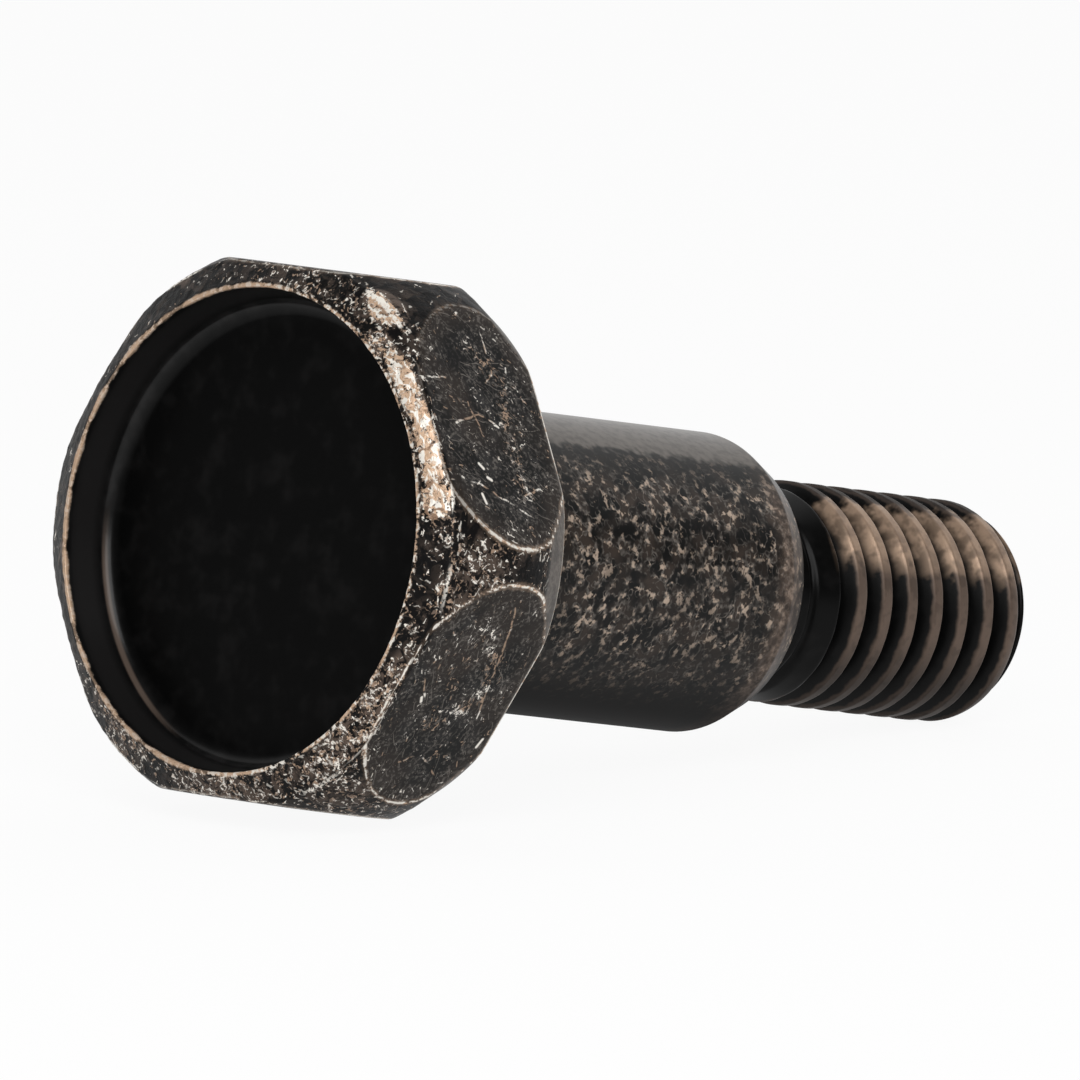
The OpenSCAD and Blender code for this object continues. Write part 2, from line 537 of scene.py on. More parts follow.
@dataclass
class Shank:
    """Plain shoulder, relieved neck and right-hand rolled thread with a rounded tip."""

    shoulder_r: float = 6.35
    shoulder_length: float = 20.7
    shoulder_edge_length: float = 1.25
    shoulder_edge_height: float = 0.6
    seat_fillet: float = 0.4
    thread_r: float = 4.7625
    pitch: float = 1.5875
    stud_length: float = 15.7
    neck_length: float = 2.0
    neck_relief: float = 0.08
    runout_length: float = 2.0
    tip_edge_length: float = 1.6
    tip_edge_height: float = 0.75
    thread_turn: float = math.radians(15)
    depth_per_pitch: float = 0.55
    crest_per_pitch: float = 0.25
    crest_round: float = 0.1
    root_round: float = 0.12
    cut_round: float = 0.03
    end_disc_wear: float = 0.1
    columns: int = 150
    rows_per_pitch: int = 24

    @property
    def thread_start(self) -> float:
        """Station where the thread rises out of the neck."""
        return self.shoulder_length + self.neck_length

    @property
    def thread_end(self) -> float:
        """Station of the tip."""
        return self.shoulder_length + self.stud_length

    @property
    def tip_edge_at(self) -> float:
        """Station where the tip's rounded edge starts."""
        return self.thread_end - self.tip_edge_length

    @property
    def root_r(self) -> float:
        """Radius at the thread's root."""
        return self.thread_r - self.pitch * self.depth_per_pitch

    def plain_outline(self) -> tuple[Array, Array]:
        """Gives the turned part as radius and station: fillet arc, shoulder, sloping edge and neck.

        Returns:
            Radii and stations from the bearing face to the start of the thread.
        """
        arc = np.linspace(1.5 * math.pi, math.pi, 6)
        arc_r = self.shoulder_r + self.seat_fillet * (1 + np.cos(arc))
        arc_at = self.seat_fillet * (1 + np.sin(arc))
        edge_at = self.shoulder_length - self.shoulder_edge_length
        side_at = np.concatenate([np.linspace(0.7, edge_at - 0.3, 24), edge_at - np.array([0.2, 0.12, 0.05])])
        slope_share = np.array([0.02, 0.08, 0.2, 0.4, 0.6, 0.8, 0.92, 0.98])
        slope_r = self.shoulder_r - self.shoulder_edge_height * slope_share
        slope_at = edge_at + self.shoulder_edge_length * slope_share
        end_r = self.shoulder_r - self.shoulder_edge_height
        neck_r = self.root_r - self.neck_relief
        face_r = end_r + (neck_r - end_r) * np.array([0.03, 0.12, 0.3, 0.5, 0.75, 0.93, 1.0])
        face_at = self.shoulder_length + np.array([0.0, 0.0, 0.0, 0.0, 0.0, 0.0, 0.05])
        neck_at = np.linspace(self.shoulder_length + 0.2, self.thread_start, 7, endpoint=False)
        radius = np.concatenate(
            [arc_r, np.full_like(side_at, self.shoulder_r), slope_r, face_r, np.full_like(neck_at, neck_r)]
        )
        station = np.concatenate([arc_at, side_at, slope_at, face_at, neck_at])
        return radius, station

    def thread_form(self, angle: Array, station: Array) -> tuple[Array, Array]:
        """Gives the thread's radius at each angle and station.

        The helix climbs one pitch a turn. Across a pitch the height falls from the crest down
        straight flanks at thirty degrees to the root, with both ends of the flank rounded. It rises
        out of the neck along a slope, and is cut by the tip's parabola.

        Args:
            angle: Angles round the axis.
            station: Stations along the axis.

        Returns:
            The radius, and the share of the thread's height, from 0 at the root to 1 on the crest.
        """
        phase = (angle + math.pi + self.thread_turn) / FULL_TURN
        along = (station - self.thread_start) / self.pitch - phase
        off_crest = np.abs(along - np.round(along))
        flank = (off_crest - self.crest_per_pitch / 2) / (self.depth_per_pitch * math.tan(math.pi / 6))
        fall = np.hypot(np.maximum(flank, 0), self.crest_round) - self.crest_round
        share = np.clip(1 - soft_min(fall, np.ones_like(flank), self.root_round), 0, 1)
        runout = (station - self.thread_start) / self.runout_length
        depth = self.thread_r - self.root_r
        past_edge = np.clip((station - self.tip_edge_at) / self.tip_edge_length, 0, 1)
        limit = np.minimum(
            self.root_r + depth * np.clip(runout, 0, 1), self.thread_r - self.tip_edge_height * past_edge**2
        )
        radius = soft_min(self.root_r + depth * share, limit, self.cut_round)
        return radius, share * smooth_step(runout, 0.5, 1.0)

    def skin(self) -> Grid:
        """Works out the shank's grid and its masks.

        Returns:
            The shank from the ring at the seat fillet to the ring next to the tip's centre.
        """
        angle = np.arange(self.columns) * FULL_TURN / self.columns
        plain_r, plain_at = self.plain_outline()
        rows = round((self.thread_end - self.thread_start) / self.pitch * self.rows_per_pitch)
        thread_at = np.linspace(self.thread_start, self.thread_end, rows)
        thread_r, crest = self.thread_form(angle[None, :], thread_at[:, None])
        tip_share = np.array([0.02, 0.08, 0.3, 0.6, 0.85])
        tip = thread_r[-1][None, :] * (1 - tip_share[:, None])
        radius = np.concatenate([plain_r[:, None] * np.ones_like(angle), thread_r, tip])
        station = np.concatenate([plain_at, thread_at, np.full(len(tip), self.thread_end)])
        at = station[:, None] * np.ones_like(angle)
        grid = Grid(np.broadcast_to(angle, radius.shape), radius, at)
        for mask in Mask:
            grid.fill(mask, 0.0)
        for mask in (Mask.EDGE, Mask.REAR, Mask.LIP):
            grid.fill(mask, FAR)
        on_thread = slice(len(plain_r), len(plain_r) + rows)
        grid.masks[Mask.CREST][on_thread] = crest
        grid.masks[Mask.CREST][on_thread.stop :] = self.end_disc_wear
        grid.masks[Mask.SHOULDER] = smooth_step(at, self.shoulder_length + 0.02, self.shoulder_length - 0.02)
        beyond = smooth_step(at, self.shoulder_length, self.shoulder_length + 0.1)
        grid.masks[Mask.SOOT] = beyond * smooth_step(grid.masks[Mask.CREST], 0.95, 0.5)
        edge_at = self.shoulder_length - self.shoulder_edge_length
        grid.fill(Mask.END, np.abs(at - edge_at))
        nothing = np.zeros(radius.shape)
        round_shank = np.minimum(grid.angle, FULL_TURN - grid.angle) * self.shoulder_r
        grid.masks[Mask.WRAP] = np.stack([round_shank, at, nothing], axis=-1)
        grid.masks[Mask.PLANE] = np.zeros(radius.shape + (3,))
        return grid


Value: TypeAlias = "Wire | float"


class Wire:
    """An output socket of a shader node, with arithmetic that adds Math nodes."""

    def __init__(self, graph: "Graph", socket: bpy.types.NodeSocket) -> None:
        """Keeps the socket and the graph that it belongs to."""
        self.graph = graph
        self.socket = socket

    def math(self, operation: str, *values: Value) -> "Wire":
        """Adds one Math node over this value and the others."""
        sockets = dict(enumerate([self, *values]))
        return self.graph.add("ShaderNodeMath", {"operation": operation}, sockets)

    def beside(self, name: str) -> "Wire":
        """Gives another output of the same node."""
        return Wire(self.graph, self.socket.node.outputs[name])

    def __add__(self, other: Value) -> "Wire":
        """Gives the sum."""
        return self.math("ADD", other)

    __radd__ = __add__

    def __sub__(self, other: Value) -> "Wire":
        """Gives this value less the other."""
        return self.math("SUBTRACT", other)

    def __rsub__(self, other: float) -> "Wire":
        """Gives the number less this value."""
        return self.graph.add("ShaderNodeMath", {"operation": "SUBTRACT"}, {0: other, 1: self})

    def __mul__(self, other: Value) -> "Wire":
        """Gives the product."""
        return self.math("MULTIPLY", other)

    __rmul__ = __mul__

    def least(self, other: Value) -> "Wire":
        """Gives the lesser of two values."""
        return self.math("MINIMUM", other)

    def most(self, other: Value) -> "Wire":
        """Gives the greater of two values."""
        return self.math("MAXIMUM", other)

    def rise(self, low: Value, high: Value) -> "Wire":
        """Gives 0 at low, 1 at high and a smooth S between them, also where low is the greater."""
        settings = {"interpolation_type": "SMOOTHSTEP"}
        return self.graph.add("ShaderNodeMapRange", settings, {0: self, 1: low, 2: high})

    def apart(self, middle: float) -> "Wire":
        """Gives the distance from a middle value."""
        return (self - middle).math("ABSOLUTE")


class Graph:
    """A node tree under construction."""

    def __init__(self, tree: bpy.types.NodeTree) -> None:
        """Empties the tree and keeps it."""
        tree.nodes.clear()
        self.tree = tree

    def add(
        self,
        kind: str,
        settings: dict[str, object] | None = None,
        sockets: dict[int | str, object] | None = None,
        output: int | str = 0,
    ) -> Wire:
        """Adds a node of any type.

        Args:
            kind: The node's type.
            settings: Its properties, which are set first.
            sockets: Values or wires for its inputs, by name or number.
            output: The output that is returned, by name or number.

        Returns:
            The chosen output, or the node's first input if it has no output.
        """
        node = self.tree.nodes.new(kind)
        for name, value in (settings or {}).items():
            setattr(node, name, value)
        for name, value in (sockets or {}).items():
            if isinstance(value, Wire):
                self.tree.links.new(value.socket, node.inputs[name])
            else:
                node.inputs[name].default_value = value
        return Wire(self, node.outputs[output] if len(node.outputs) else node.inputs[0])

    def mask(self, mask: Mask) -> Wire:
        """Reads one of the numbers or places that the skin carries."""
        output = "Vector" if mask.is_place else "Fac"
        return self.add("ShaderNodeAttribute", {"attribute_name": mask.value}, output=output)

    def blend(self, share: Value, first: object, second: object) -> Wire:
        """Mixes two colours."""
        sockets = {0: share, 6: paint(first), 7: paint(second)}
        return self.add("ShaderNodeMix", {"data_type": "RGBA", "clamp_factor": True}, sockets, 2)

    def vector(self, operation: str, *values: object, output: int = 0) -> Wire:
        """Adds one Vector Math node."""
        return self.add("ShaderNodeVectorMath", {"operation": operation}, dict(enumerate(values)), output)

    def parts(self, vector: Wire) -> tuple[Wire, Wire, Wire]:
        """Gives the three numbers of a vector."""
        first = self.add("ShaderNodeSeparateXYZ", None, {0: vector})
        return first, first.beside("Y"), first.beside("Z")

    def noise(
        self, place: Wire, scale: float, detail: float = 2, rough: float = 0.5, twist: float = 0
    ) -> Wire:
        """Adds a cloudy noise of a given number of swells per millimetre."""
        sockets = {"Vector": place, "Scale": scale, "Detail": detail, "Roughness": rough, "Distortion": twist}
        return self.add("ShaderNodeTexNoise", {"noise_dimensions": "3D"}, sockets)

    def turned(self, place: Wire, turn: float, stretch: tuple[float, float]) -> Wire:
        """Turns a plane pattern and stretches it along and across its new way."""
        sockets = {"Vector": place, "Rotation": (0, 0, turn), "Scale": (*stretch, 1)}
        return self.add("ShaderNodeMapping", {"vector_type": "TEXTURE"}, sockets)

    def warped(self, place: Wire, scale: float, reach: float) -> Wire:
        """Shifts each place a little by a cloudy noise, so that what is drawn there isn't straight.

        Args:
            place: Place on the plane, in millimetres.
            scale: Swells of the noise per millimetre.
            reach: Width of the range of shifts.

        Returns:
            The shifted place.
        """
        cloud = self.noise(place, scale, 1).beside("Color")
        shift = self.vector("MULTIPLY_ADD", cloud, (reach,) * 3, (-reach / 2,) * 3)
        return self.vector("ADD", place, shift)

    def strokes(
        self, place: Wire, cells: float, length: float, width: float, lean: Value, spread: float, share: Value
    ) -> Wire:
        """Scatters short straight strokes over a plane, one to a cell of a random pattern.

        Each cell draws its stroke through its middle, at an angle, of a length and of a strength of its
        own: a point is on it if its distance across the stroke is under the width and its distance
        along it is under the length.

        Args:
            place: Place on the plane, in millimetres.
            cells: Cells per millimetre.
            length: Longest half length.
            width: Half width.
            lean: Middle of the angles, in radians.
            spread: Range of the angles.
            share: Share of the cells that have a stroke.

        Returns:
            The strokes as a mask.
        """
        sockets = {"Vector": place, "Scale": cells}
        middle = self.add("ShaderNodeTexVoronoi", {"voronoi_dimensions": "2D"}, sockets, "Position")
        across_x, across_y, _ = self.parts(self.vector("SUBTRACT", place, middle))
        pick_turn, pick_length, pick_shown = self.parts(middle.beside("Color"))
        turn = (pick_turn - 0.5) * spread + lean
        cos, sin = turn.math("COSINE"), turn.math("SINE")
        along = (across_x * cos + across_y * sin).math("ABSOLUTE")
        across = (across_y * cos - across_x * sin).math("ABSOLUTE")
        half = pick_length * length
        drawn = across.rise(width, width * 0.3) * along.rise(half, half * 0.6)
        return drawn * pick_shown.rise(share + 0.02, share) * (pick_turn * 0.65 + 0.35)

    def route(self, place: Wire, points: list[tuple[float, float]], width: float) -> Wire:
        """Draws a line through chosen points: the least distance to each straight piece of it.

        Args:
            place: Place on the plane, in millimetres.
            points: The points, in order.
            width: Half width of the line.

        Returns:
            The line as a mask.
        """
        nearest: Wire | None = None
        for start, end in zip(points, points[1:]):
            way = Vector((end[0] - start[0], end[1] - start[1], 0.0))
            away = self.vector("SUBTRACT", place, (*start, 0.0))
            share = self.vector("DOT_PRODUCT", away, way / way.length_squared, output=1)
            held = self.add("ShaderNodeClamp", None, {0: share})
            foot = self.add("ShaderNodeVectorMath", {"operation": "SCALE"}, {0: way, "Scale": held})
            gap = self.vector("DISTANCE", away, foot, output=1)
            nearest = gap if nearest is None else nearest.least(gap)
        return nearest.rise(width, width * 0.35)

    def lines(self, place: Wire, marks: tuple[Mark, ...], width: float) -> Wire:
        """Draws several such lines as one mask.

        Args:
            place: Place on the plane, in millimetres.
            marks: The lines.
            width: Half width of each line.

        Returns:
            The lines as one mask.
        """
        drawn = [self.route(place, mark.route(), width) for mark in marks]
        total = drawn[0]
        for line in drawn[1:]:
            total = total.most(line)
        return total


def paint(value: object) -> object:
    """Gives a colour its fourth number, and passes a wire on."""
    return (*value, 1.0) if isinstance(value, tuple) else value


def tone(red: int, green: int, blue: int) -> Colour:
    """Turns a colour as it is seen on a screen, from 0 to 255, into linear light."""
    seen = [part / 255 for part in (red, green, blue)]
    return tuple(part / 12.92 if part < 0.04045 else ((part + 0.055) / 1.055) ** 2.4 for part in seen)


class Coat:
    """The finish so far, as layers are laid over each other: colour, roughness, bareness and height."""

    def __init__(self, graph: Graph, colour: Colour, rough: float) -> None:
        """Starts with one plain layer.

        Args:
            graph: The node tree that the layers are built in.
            colour: The layer's colour.
            rough: Its roughness.
        """
        self.graph = graph
        self.colour: Wire | Colour = colour
        self.rough: Value = rough
        self.metal: Value = 0.0
        self.height: Value = 0.0

    def cover(
        self, share: Wire, colour: Wire | Colour, rough: float | None = None, metal: float | None = None
    ) -> None:
        """Lays one layer over the finish.

        Args:
            share: How far the layer covers each place.
            colour: The layer's colour.
            rough: Its roughness, if it differs.
            metal: How much it is bare metal, if it differs.
        """
        self.colour = self.graph.blend(share, self.colour, colour)
        if rough is not None:
            self.rough = self.rough + (rough - self.rough) * share
        if metal is not None:
            self.metal = self.metal + (metal - self.metal) * share

    def raise_by(self, height: Wire) -> None:
        """Adds to the height, in grain heights."""
        self.height = self.height + height


@dataclass(frozen=True)
class WornBlackSteel:
    """Black oxide on forged steel, rubbed to copper-toned bare metal along its edges.

    The marks are those of the two flats that face the viewer.
    """

    charcoal: Colour = tone(17, 17, 17)
    soot: Colour = tone(6, 6, 6)
    smoke: Colour = tone(30, 29, 29)
    pitch: Colour = tone(13, 12, 12)
    slate: Colour = tone(60, 58, 57)
    umber: Colour = tone(66, 57, 51)
    rust: Colour = tone(150, 122, 100)
    copper: Colour = tone(212, 180, 152)
    cream: Colour = tone(250, 244, 234)
    ash: Colour = tone(118, 112, 106)
    hazel: Colour = tone(118, 102, 91)
    fawn: Colour = tone(170, 145, 124)
    sand: Colour = tone(190, 170, 152)
    crest: Colour = tone(104, 89, 79)
    rough: float = 0.36
    specular: float = 0.1
    gloss: float = 0.16
    gloss_share: float = 0.25
    grain_height: float = 0.01
    scratches: tuple[Mark, ...] = (
        Mark(UPPER_FLAT, ((0.0, 2.0), (-0.5, 3.5), (0.0, 4.5))),
        Mark(UPPER_FLAT, ((2.5, 1.5), (3.0, 3.0), (4.0, 5.0))),
        Mark(UPPER_FLAT, ((-2.0, 1.0), (-2.0, 2.0))),
        Mark(UPPER_FLAT, ((-1.0, 3.0), (0.5, 3.5))),
        Mark(UPPER_FLAT, ((-4.5, 5.0), (-2.5, 5.0), (-2.0, 4.5))),
        Mark(UPPER_FLAT, ((3.0, 5.0), (2.5, 6.5))),
        Mark(LOWER_FLAT, ((-4.5, 4.5), (-3.5, 5.0), (-1.0, 5.5), (1.0, 6.0))),
        Mark(LOWER_FLAT, ((0.5, 5.0), (1.0, 4.5))),
        Mark(LOWER_FLAT, ((-1.0, 1.5), (0.5, 2.5))),
        Mark(LOWER_FLAT, ((3.5, 3.0), (3.0, 4.0), (4.0, 5.5))),
    )
    dings: tuple[Mark, ...] = (
        Mark(UPPER_FLAT, ((1.8, 2.7), (2.0, 2.9))),
        Mark(UPPER_FLAT, ((2.4, 3.0), (2.5, 3.2))),
        Mark(UPPER_FLAT, ((3.2, 2.4), (3.6, 2.5))),
        Mark(LOWER_FLAT, ((2.0, 7.0), (2.4, 6.9))),
        Mark(LOWER_FLAT, ((0.3, 2.2), (0.5, 2.3))),
    )

    def material(self) -> bpy.types.Material:
        """Builds the finish.

        Returns:
            The material, which reads the skin's masks and Object coordinates.
        """
        made = bpy.data.materials.new("worn_black_steel")
        made.use_nodes = True
        graph = Graph(made.node_tree)
        raw = graph.add("ShaderNodeTexCoord", output="Object")
        place = graph.add("ShaderNodeVectorMath", {"operation": "SCALE"}, {0: raw, "Scale": 1 / MM})
        coat = Coat(graph, self.charcoal, self.rough)
        self.lay_recess(coat, place)
        self.lay_flats(coat, place)
        self.lay_shoulder(coat, place)
        self.lay_thread(coat, place)
        self.lay_forged(coat, place)
        self.lay_edges(coat, place)
        depth = self.grain_height * MM
        bump = graph.add("ShaderNodeBump", None, {"Strength": 1.0, "Distance": depth, "Height": coat.height})
        polished = graph.mask(Mask.FILLET).most(graph.mask(Mask.WALL))
        shader = graph.add(
            "ShaderNodeBsdfPrincipled",
            None,
            {
                "Base Color": coat.colour,
                "Roughness": coat.rough,
                "Metallic": coat.metal,
                "Specular IOR Level": self.specular,
                "Coat Weight": polished * self.gloss_share,
                "Coat Roughness": self.gloss,
                "Normal": bump,
            },
        )
        graph.add("ShaderNodeOutputMaterial", None, {"Surface": shader})
        return made

    def lay_recess(self, coat: Coat, place: Wire) -> None:
        """Blackens the recess, the neck and the thread's roots, with a smoky wall and fillet, and a painted
        reflection of the lip as a brown line in the fillet, low on the back side.

        Args:
            coat: The finish so far.
            place: Place on the bolt, in millimetres.
        """
        graph = coat.graph
        soot = graph.mask(Mask.SOOT)
        fillet = graph.mask(Mask.FILLET)
        _, aside, up = graph.parts(place)
        haze = graph.noise(place, 0.8, 2, 0.65)
        plain = (graph.mask(Mask.FLAT) + graph.mask(Mask.CREST).rise(0.0, 0.1)).rise(1.0, 0.0)
        coat.cover(haze.rise(0.4, 0.62) * plain * 0.7, self.slate, 0.45)
        coat.cover(soot, self.soot, 0.3)
        coat.cover(haze.rise(0.45, 0.75) * soot * 0.35, self.smoke)
        coat.cover(graph.mask(Mask.WALL) * 0.95, self.smoke, 0.3)
        coat.cover(fillet * haze.rise(0.35, 0.6) * 0.6, self.smoke)
        # Painted reflection: a brown line in the fillet, low on the back side, stands in for the lip mirrored
        # there.
        coat.cover(fillet.rise(0.6, 1.0) * aside.rise(3.5, 6.5) * up.rise(1.5, -2.0) * 0.55, self.hazel, 0.3)

    def lay_flats(self, coat: Coat, place: Wire) -> None:
        """Lays stains, scratches and dings on the six flats, close together along the dents.

        Args:
            coat: The finish so far.
            place: Place on the bolt, in millimetres.
        """
        graph = coat.graph
        flat = graph.mask(Mask.FLAT)
        plane = graph.mask(Mask.PLANE)
        bent = graph.warped(plane, 1.3, 0.32)
        cloud = graph.noise(place, 0.9, 3, 0.65)
        dust = graph.noise(place, 6.0, 2, 0.6)
        coat.cover(cloud.rise(0.44, 0.68) * flat * 0.5, self.slate, 0.42)
        stain = graph.noise(place, 0.3, 1).rise(0.42, 0.62).most(graph.mask(Mask.EDGE).rise(1.5, 0.1))
        coat.cover(stain * flat * 0.4, self.umber)
        veins = graph.noise(plane, 0.33, 2).apart(0.5).rise(0.035, 0.0) * 0.4
        crowd = graph.mask(Mask.DENT).most(veins)
        past_upper = graph.parts(plane)[0] - FLAT_APART * UPPER_FLAT
        lean = 0.9 - past_upper.rise(10.0, 30.0) * 0.8
        fine = graph.strokes(bent, 2.2, 0.5, 0.028, lean, 1.1, crowd * 0.5 + 0.36)
        hairs = graph.strokes(bent, 0.7, 1.6, 0.026, lean, 1.6, 0.75)
        specks = graph.strokes(bent, 3.6, 0.17, 0.04, lean, 1.4, crowd * 0.6 + 0.05)
        grit = dust.rise(0.48, 0.7) * (crowd * 0.5 + cloud.rise(0.36, 0.58) * 0.5 + 0.12)
        coat.cover(grit * flat, self.ash)
        coat.cover(fine * flat * 0.8, self.ash, *GRAZED)
        coat.cover(hairs * dust.rise(0.3, 0.5) * flat * 0.85, self.ash, *GRAZED)
        hue = graph.blend(cloud.rise(0.46, 0.56), self.fawn, self.cream)
        coat.cover(specks * flat * 0.95, hue, *BARE)
        clumps = graph.noise(place, 3.6, 3, 0.7, 0.8) + crowd * 0.09
        coat.cover(clumps.rise(0.65, 0.7) * flat * 0.95, hue, *BARE)
        drawn = graph.lines(bent, self.scratches, 0.065) * dust.rise(0.36, 0.52)
        coat.cover(drawn * flat * 0.9, hue, *BARE)
        coat.cover(graph.lines(plane, self.dings, 0.1) * flat, self.cream, *BARE)
        heel = graph.mask(Mask.HEEL)
        coat.cover(heel, self.ash, 0.4)
        coat.cover(heel * cloud.rise(0.55, 0.4) * 0.6, self.slate)
        coat.cover(heel * dust.rise(0.42, 0.58) * 0.45, self.umber)

    def lay_shoulder(self, coat: Coat, place: Wire) -> None:
        """Mottles the shoulder brown, with a polished band along its top that is also a painted highlight, a
        painted shade along its underside, and a worn end.

        Args:
            coat: The finish so far.
            place: Place on the bolt, in millimetres.
        """
        graph = coat.graph
        shoulder = graph.mask(Mask.SHOULDER)
        around = graph.parts(graph.mask(Mask.WRAP))[0]
        coat.cover(shoulder, self.charcoal, 0.3)
        side = around.rise(4.0, 6.2) * around.rise(16.8, 12.5) * 0.88 + 0.12
        cloud = graph.noise(place, 0.5, 1, 0.6).rise(0.36, 0.6) * 0.6 + 0.4
        share = shoulder * side * cloud
        net = graph.noise(place, 1.1, 2, 0.6)
        web = graph.noise(place, 2.0, 1, 0.6)
        spots = graph.noise(place, 2.6, 2, 0.6)
        curls = net.apart(0.5).rise(0.05, 0.0)
        strings = curls.most(web.apart(0.5).rise(0.05, 0.0))
        coat.cover(share * net.rise(0.36, 0.66) * 0.85, self.umber)
        coat.cover(share * strings * spots.rise(0.36, 0.6) * 0.85, self.ash, 0.38)
        coat.cover(share * (spots + strings * 0.03).rise(0.57, 0.69) * 0.95, self.sand, *GRAZED)
        # Painted shade: the underside of the shoulder is darkened, and made rougher.
        coat.cover(shoulder * around.rise(12.0, 17.0), self.pitch, 0.75)
        # Polished band along the top: lower roughness and some metal, and its lighter grey is a painted
        # highlight.
        polish_and_painted_highlight = (around + web - 0.5).rise(4.1, 3.65) * shoulder
        coat.cover(polish_and_painted_highlight * (spots.rise(0.3, 0.6) * 0.25 + 0.5), self.ash, 0.28, 0.25)
        worn_end = graph.mask(Mask.END).rise(1.35, 0.2) * (spots.rise(0.35, 0.6) * 0.6 + 0.3)
        coat.cover(worn_end * shoulder * side * 0.75, self.hazel, 0.4)

    def lay_thread(self, coat: Coat, place: Wire) -> None:
        """Bares the thread's crests, with painted shade on them near the top and along the underside, and a
        painted highlight, laid as bare metal, on the crests from roughly thirty to seventy degrees off the
        top.

        Args:
            coat: The finish so far.
            place: Place on the bolt, in millimetres.
        """
        graph = coat.graph
        around = graph.parts(graph.mask(Mask.WRAP))[0]
        worn = graph.noise(place, 1.6, 2)
        height = graph.mask(Mask.CREST) + (worn - 0.5) * 0.25
        crest = height.rise(0.78, 1.0)
        coat.cover(crest, self.crest, 0.4, 0.25)
        coat.cover(crest * worn.rise(0.5, 0.65) * 0.4, self.umber)
        # Painted shade: the crests are darkened near the top and past about a hundred degrees off the top.
        coat.cover(crest * around.rise(3.4, 2.4).most(around.rise(11.0, 15.0) * 0.9) * 0.8, self.smoke, 0.6)
        # Painted highlight: the crests from roughly thirty to seventy degrees off the top get a lighter
        # colour, laid as bare metal.
        side = around + (worn - 0.5) * 3.0
        rubbed = side.rise(2.5, 3.7) * side.rise(8.2, 6.9) * height.rise(0.22, 0.8)
        coat.cover(rubbed * (worn.rise(0.35, 0.6) * 0.45 + 0.45), self.fawn, 0.36, 0.35)

    def lay_forged(self, coat: Coat, place: Wire) -> None:
        """Covers the forged band and corners with black crumbs, copper flecks and rubbed patches.

        Args:
            coat: The finish so far.
            place: Place on the bolt, in millimetres.
        """
        graph = coat.graph
        forged = graph.mask(Mask.FORGED)
        rub = graph.mask(Mask.RUB)
        crumb = graph.noise(place, 3.0, 3, 0.65, 0.8)
        grain = graph.noise(place, 8.0, 1, 0.6, 0.4)
        tint = graph.noise(place, 1.5, 2, 0.6, 1.0)
        herd = graph.noise(place, 0.7, 1)
        wrap = graph.mask(Mask.WRAP)
        _, aside, up = graph.parts(place)
        calm = 1.0 - aside.rise(1.0, 5.0) * up.rise(-7.5, -3.5) * 0.92
        around, along, _ = graph.parts(wrap)
        calm = calm * (1.0 - around.rise(8.6, 7.0) * along.rise(1.7, 2.2) * 0.85)
        lively = (rub + herd.rise(0.4, 0.6) * 0.4) * calm
        coat.cover(forged, self.pitch, 0.42)
        coat.cover(forged * tint.rise(0.47, 0.62) * (herd.rise(0.35, 0.6) * 0.5 + 0.3), self.umber)
        crumbs = crumb.rise(0.52, 0.62) * grain.rise(0.42, 0.6) * lively.rise(0.0, 0.6)
        coat.cover(forged * crumbs * 0.6, self.hazel)
        bare = (rub * calm + (crumb - 0.5) * 1.7 + (grain - 0.5) * 0.6).rise(0.7, 0.82) * forged
        swirl = graph.noise(graph.turned(graph.warped(wrap, 2.0, 0.6), 0.15, (0.62, 0.22)), 1.0, 2, 0.5)
        metal = graph.blend(rub.rise(0.3, 0.9), self.fawn, self.copper)
        metal = graph.blend(swirl.rise(0.51, 0.56), metal, self.cream)
        metal = graph.blend(tint.rise(0.43, 0.35), metal, self.rust)
        coat.cover(forged * rub.rise(0.25, 0.6) * tint.rise(0.42, 0.55) * 0.5, self.hazel)
        coat.cover(bare, metal, *BARE)
        cracks = swirl.apart(0.44).rise(0.02, 0.006)
        coat.cover(cracks * grain.rise(0.45, 0.55) * forged * 0.85, self.pitch, 0.5, 0.0)
        bent = graph.warped(wrap, 4.5, 0.3)
        curls = graph.strokes(bent, 3.4, 0.22, 0.034, 0.0, 6.3, lively * 0.5 + calm * 0.2)
        flakes = graph.strokes(bent, 2.0, 0.3, 0.065, 0.0, 2.0, lively * 0.5 + calm * 0.04)
        hue = graph.blend(tint.rise(0.45, 0.52), self.fawn, self.cream)
        coat.cover(curls * forged * 0.9, hue, *BARE)
        coat.cover(flakes * forged * grain.rise(0.36, 0.46) * (1.0 - bare * 0.6), self.cream, *BARE)
        beads = graph.noise(place, 3.8, 2, 0.6, 0.5) + lively * (1.0 - bare * 0.9) * 0.1
        beads = beads - (1.0 - calm) * 0.06
        mixed = graph.blend(grain.rise(0.4, 0.55), self.hazel, hue)
        coat.cover(beads.rise(0.635, 0.69) * forged * 0.95, mixed, *BARE)
        from_ridge = along.apart(1.6)
        border = from_ridge.rise(0.45, 0.2).most(along.rise(0.4, 0.1))
        combed = graph.strokes(bent, 3.4, 0.3, 0.042, 0.0, 0.9, lively * 0.55 + calm * 0.3)
        coat.cover(combed * border * forged, hue, *BARE)
        worn_ridge = from_ridge.rise(0.12, 0.05) * rub.rise(0.2, 0.5) * grain.rise(0.35, 0.5)
        coat.cover(worn_ridge * forged * 0.9, self.cream, *BARE)
        coat.raise_by((crumb * 4.0 + bare * 1.0) * forged)

